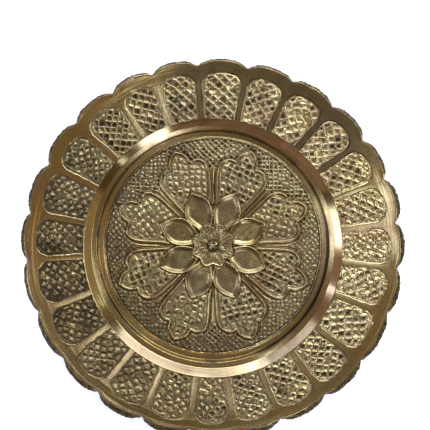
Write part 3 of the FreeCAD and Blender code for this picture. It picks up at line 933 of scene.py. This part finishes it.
def aged_brass(name, rubbed, tarnished):
    """Old brass: golden where it is rubbed, brown where it is not, near black in the recesses and
    where the dark layer carries painted shade.
    """
    m = Nodes(name)
    dark, burnish, cast = m.layer("dark"), m.layer("burnish"), m.layer("cast")
    blotch = m.noise(38.0, 3.0, 0.6)
    slow = m.noise(13.0, 2.0, 0.5)
    speck = m.noise(900.0, 4.0, 0.65)
    golden = m.mix(m.spread(slow, 0.4, 0.62), rubbed, GOLDEN)
    warm = m.mix(m.spread(blotch, 0.46, 0.66), golden, tarnished)
    # The dark layer holds grime and patina together with painted shade, so this mix paints shade as well as
    # dirt.
    grime = m.maths("ADD", dark, m.maths("MULTIPLY", m.maths("SUBTRACT", speck, 0.5), 0.25))
    amount = m.spread(grime, 0.25, 1.0, 0.0, 0.95)
    base = m.mix(amount, warm, GRIME_AND_SHADE)
    rough_cast = m.mix(m.spread(speck, 0.46, 0.66), CAST_HOLLOW, CAST_GRAIN)
    base = m.mix(m.spread(cast, 0.5, 1.0, 0.0, 0.97), base, rough_cast)
    m.link(base, m.shader.inputs["Base Color"])
    m.shader.inputs["Metallic"].default_value = 1.0
    plain = m.spread(blotch, 0.3, 0.7, 0.20, 0.28)
    plain = m.maths("SUBTRACT", plain, m.maths("MULTIPLY", burnish, 0.13))
    rough = m.maths("ADD", plain, m.maths("MULTIPLY", amount, 0.16))
    rough = m.maths("ADD", rough, m.spread(cast, 0.0, 1.0, 0.0, 0.25), clamp=True)
    m.link(rough, m.shader.inputs["Roughness"])
    lines = m.rings(2600.0)
    polish = m.maths("MULTIPLY", lines, m.spread(burnish, 0.3, 0.9, 0.0, 0.35))
    grain = m.maths("MULTIPLY", speck, m.spread(burnish, 0.2, 0.9, 0.6, 0.1))
    m.bump(m.maths("ADD", polish, grain), 0.00005)
    return m.material


def floor_material():
    """Plain and pale. It glows a little, so that it stays pale under the dim lights."""
    m = Nodes("studio_floor")
    grain = m.noise(60.0, 4.0)
    m.link(m.mix(grain, (0.90, 0.90, 0.90, 1), (0.93, 0.93, 0.93, 1)), m.shader.inputs["Base Color"])
    m.shader.inputs["Roughness"].default_value = 0.9
    m.shader.inputs["Emission Color"].default_value = (1, 1, 1, 1)
    m.shader.inputs["Emission Strength"].default_value = 0.55
    return m.material


# ---------------------------------------------------------------- pieces

brass = aged_brass("aged_brass_chased", colour(192, 161, 101), colour(176, 141, 94))
fastener = aged_brass("fastener_brass_turned", colour(214, 184, 112), colour(200, 164, 96))

for piece, node, material, slot in (
    (build_dish(), "dish", brass, "aged_brass"),
    (build_foot(), "foot", brass, "aged_brass"),
    (build_stud(), "centre_stud", brass, "aged_brass"),
    (build_washer(), "washer", fastener, "fastener_brass"),
    (build_nut(), "nut", fastener, "fastener_brass"),
):
    piece.data.materials.append(material)
    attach(piece, "root")
    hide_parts(node)

# ---------------------------------------------------------------- floor, light, camera

FLOOR_HALF = 3.0
FLOOR_GAP = 0.0002
WINDOW_DISTANCE = 1.55
CEILING = 1.5
# The point overhead that the middle of the tray mirrors to the camera, which stands a little north.
OVERHEAD = (-0.0055, -0.086)
CAMERA_HEIGHT = 0.400

a = FLOOR_HALF
floor_mesh = bpy.data.meshes.new("studio_floor")
floor_mesh.from_pydata([(-a, -a, 0), (a, -a, 0), (a, a, 0), (-a, a, 0)], [], [(0, 1, 2, 3)])
floor = bpy.data.objects.new("studio_floor", floor_mesh)
floor.location.z = FOOT_LOW[2] * MM - FLOOR_GAP
bpy.context.collection.objects.link(floor)
floor.data.materials.append(floor_material())


def studio_world():
    """Pale behind the tray. What lights the tray is warm and dim, and brighter overhead."""
    world = bpy.data.worlds.new("studio")
    bpy.context.scene.world = world
    world.use_nodes = True
    nodes, links = world.node_tree.nodes, world.node_tree.links
    nodes.clear()
    seen = nodes.new("ShaderNodeBackground")
    seen.inputs["Color"].default_value = (0.93, 0.93, 0.93, 1)
    lit = nodes.new("ShaderNodeBackground")
    lit.inputs["Color"].default_value = (1.0, 0.83, 0.6, 1)
    heading = nodes.new("ShaderNodeTexCoord")
    split = nodes.new("ShaderNodeSeparateXYZ")
    links.new(heading.outputs["Generated"], split.inputs[0])
    ramp = nodes.new("ShaderNodeMapRange")
    links.new(split.outputs["Z"], ramp.inputs["Value"])
    for key, number in (("From Min", 0.6), ("From Max", 0.97), ("To Min", 0.105), ("To Max", 0.23)):
        ramp.inputs[key].default_value = number
    links.new(ramp.outputs["Result"], lit.inputs["Strength"])
    path = nodes.new("ShaderNodeLightPath")
    choose = nodes.new("ShaderNodeMixShader")
    output = nodes.new("ShaderNodeOutputWorld")
    links.new(path.outputs["Is Camera Ray"], choose.inputs["Fac"])
    links.new(lit.outputs[0], choose.inputs[1])
    links.new(seen.outputs[0], choose.inputs[2])
    links.new(choose.outputs[0], output.inputs["Surface"])


def soft_light(name, at, width, height, radiance, tint, target=(0, 0, 0.02), turn=0.0):
    """A rectangular light of a given brightness, facing the target and hidden from the camera."""
    data = bpy.data.lights.new(name, "AREA")
    data.shape = "RECTANGLE"
    data.size, data.size_y = width, height
    data.energy = radiance * math.pi * width * height
    data.color = tint
    lamp = bpy.data.objects.new(name, data)
    lamp.location = at
    facing = (Vector(at) - Vector(target)).to_track_quat("Z", "Y")
    lamp.rotation_euler = (facing @ Quaternion((0, 0, 1), turn)).to_euler()
    lamp.visible_camera = False
    bpy.context.collection.objects.link(lamp)


def window(name, bearing, elevation, width, height, radiance, tint):
    """A light off to one side, at a bearing and an elevation from the middle of the tray."""
    b, e = math.radians(bearing), math.radians(elevation)
    d = WINDOW_DISTANCE
    at = (d * math.cos(e) * math.sin(b), d * math.cos(e) * math.cos(b), d * math.sin(e))
    soft_light(name, at, width, height, radiance, tint)


def ceiling_light(name, bearing, reach, across, along, radiance, tint):
    """A light overhead, facing down, with its sides along and across its bearing."""
    b = math.radians(bearing)
    x, y = OVERHEAD[0] + reach * math.sin(b), OVERHEAD[1] + reach * math.cos(b)
    soft_light(name, (x, y, CEILING), across, along, radiance, tint, (x, y, 0), -b)


COOL = (0.85, 1.12, 1.5)
PINK = (1.0, 1.2, 2.2)
PALE = (0.87, 1.12, 1.75)
OLIVE = (1.0, 0.95, 0.8)
ROSY = (0.97, 0.70, 1.0)
WARM = (1.0, 0.66, 0.30)
# Name, bearing, elevation, width, height, radiance, tint.
WINDOWS = (
    ("window_north_left", -9, 35, 0.8, 0.48, 1.5, PINK),
    ("window_north_right", 26, 35, 1.05, 0.48, 1.6, PINK),
    ("window_north_west", -40, 34, 0.75, 0.46, 1.05, PINK),
    ("upper_north", 0, 68, 1.2, 0.2, 0.12, PINK),
    ("window_west", 257, 27, 0.4, 0.5, 4.6, PALE),
    ("window_west_upper", 254, 61, 0.2, 0.45, 5.0, PALE),
    ("window_west_strip", 286, 31, 0.06, 0.45, 3.2, PINK),
    ("window_south", 154, 19, 0.34, 0.5, 4.0, PALE),
    ("window_south_upper", 157, 58, 0.2, 0.4, 5.5, PALE),
    ("upper_south", 190, 60, 1.5, 0.3, 0.12, ROSY),
    ("window_south_strip", 137, 20, 0.05, 0.4, 2.5, PALE),
    ("low_north", 10, 10, 1.8, 0.3, 4.0, COOL),
    ("low_south", 197, 17, 2.4, 0.4, 0.16, ROSY),
    ("low_east", 84, 30, 1.9, 0.5, 0.28, OLIVE),
    ("low_west", 283, 31, 1.1, 0.45, 0.24, ROSY),
    ("low_south_west", 226, 24, 0.7, 0.4, 0.2, ROSY),
    ("sky_north", 15, 54, 1.5, 0.34, 7.2, COOL),
    ("sky_east", 85, 48, 0.8, 0.4, 3.8, COOL),
)
# Name, bearing and distance from the point overhead, size across and along the bearing, radiance, tint.
CEILING_LIGHTS = (
    ("overhead_east", 81, 0.24, 0.09, 0.16, 1.9, PALE),
    ("overhead_far_east", 79, 0.49, 0.18, 0.2, 2.9, PALE),
    ("overhead_104", 104, 0.20, 0.05, 0.08, 0.3, COOL),
    ("overhead_127", 127, 0.20, 0.06, 0.08, 0.35, COOL),
    ("overhead_150", 150, 0.20, 0.06, 0.08, 0.4, COOL),
    ("overhead_173", 173, 0.215, 0.06, 0.09, 1.4, PALE),
    ("overhead_203", 205, 0.225, 0.05, 0.10, 1.8, PALE),
    ("overhead_218", 219, 0.225, 0.06, 0.10, 3.4, PALE),
    ("overhead_234", 234, 0.215, 0.05, 0.09, 1.6, PALE),
    ("overhead_250", 250, 0.20, 0.05, 0.07, 2.2, PALE),
    ("overhead_far_west", 270, 0.49, 0.22, 0.08, 1.2, WARM),
    ("overhead_north_west", 343, 0.22, 0.055, 0.14, 2.4, PALE),
    ("overhead_far_north_west", 331, 0.50, 0.10, 0.14, 2.2, COOL),
)

studio_world()
for row in WINDOWS:
    window(*row)
for row in CEILING_LIGHTS:
    ceiling_light(*row)

camera_data = bpy.data.cameras.new("camera")
camera_data.lens = 45.6
camera_data.sensor_width = 36.0
camera_data.clip_start = 0.01
camera = bpy.data.objects.new("camera", camera_data)
camera.location = (0.0015, 0.0233, DISH_HIGH[2] * MM + CAMERA_HEIGHT)
bpy.context.collection.objects.link(camera)
bpy.context.scene.camera = camera
bpy.context.scene.view_settings.view_transform = "Standard"
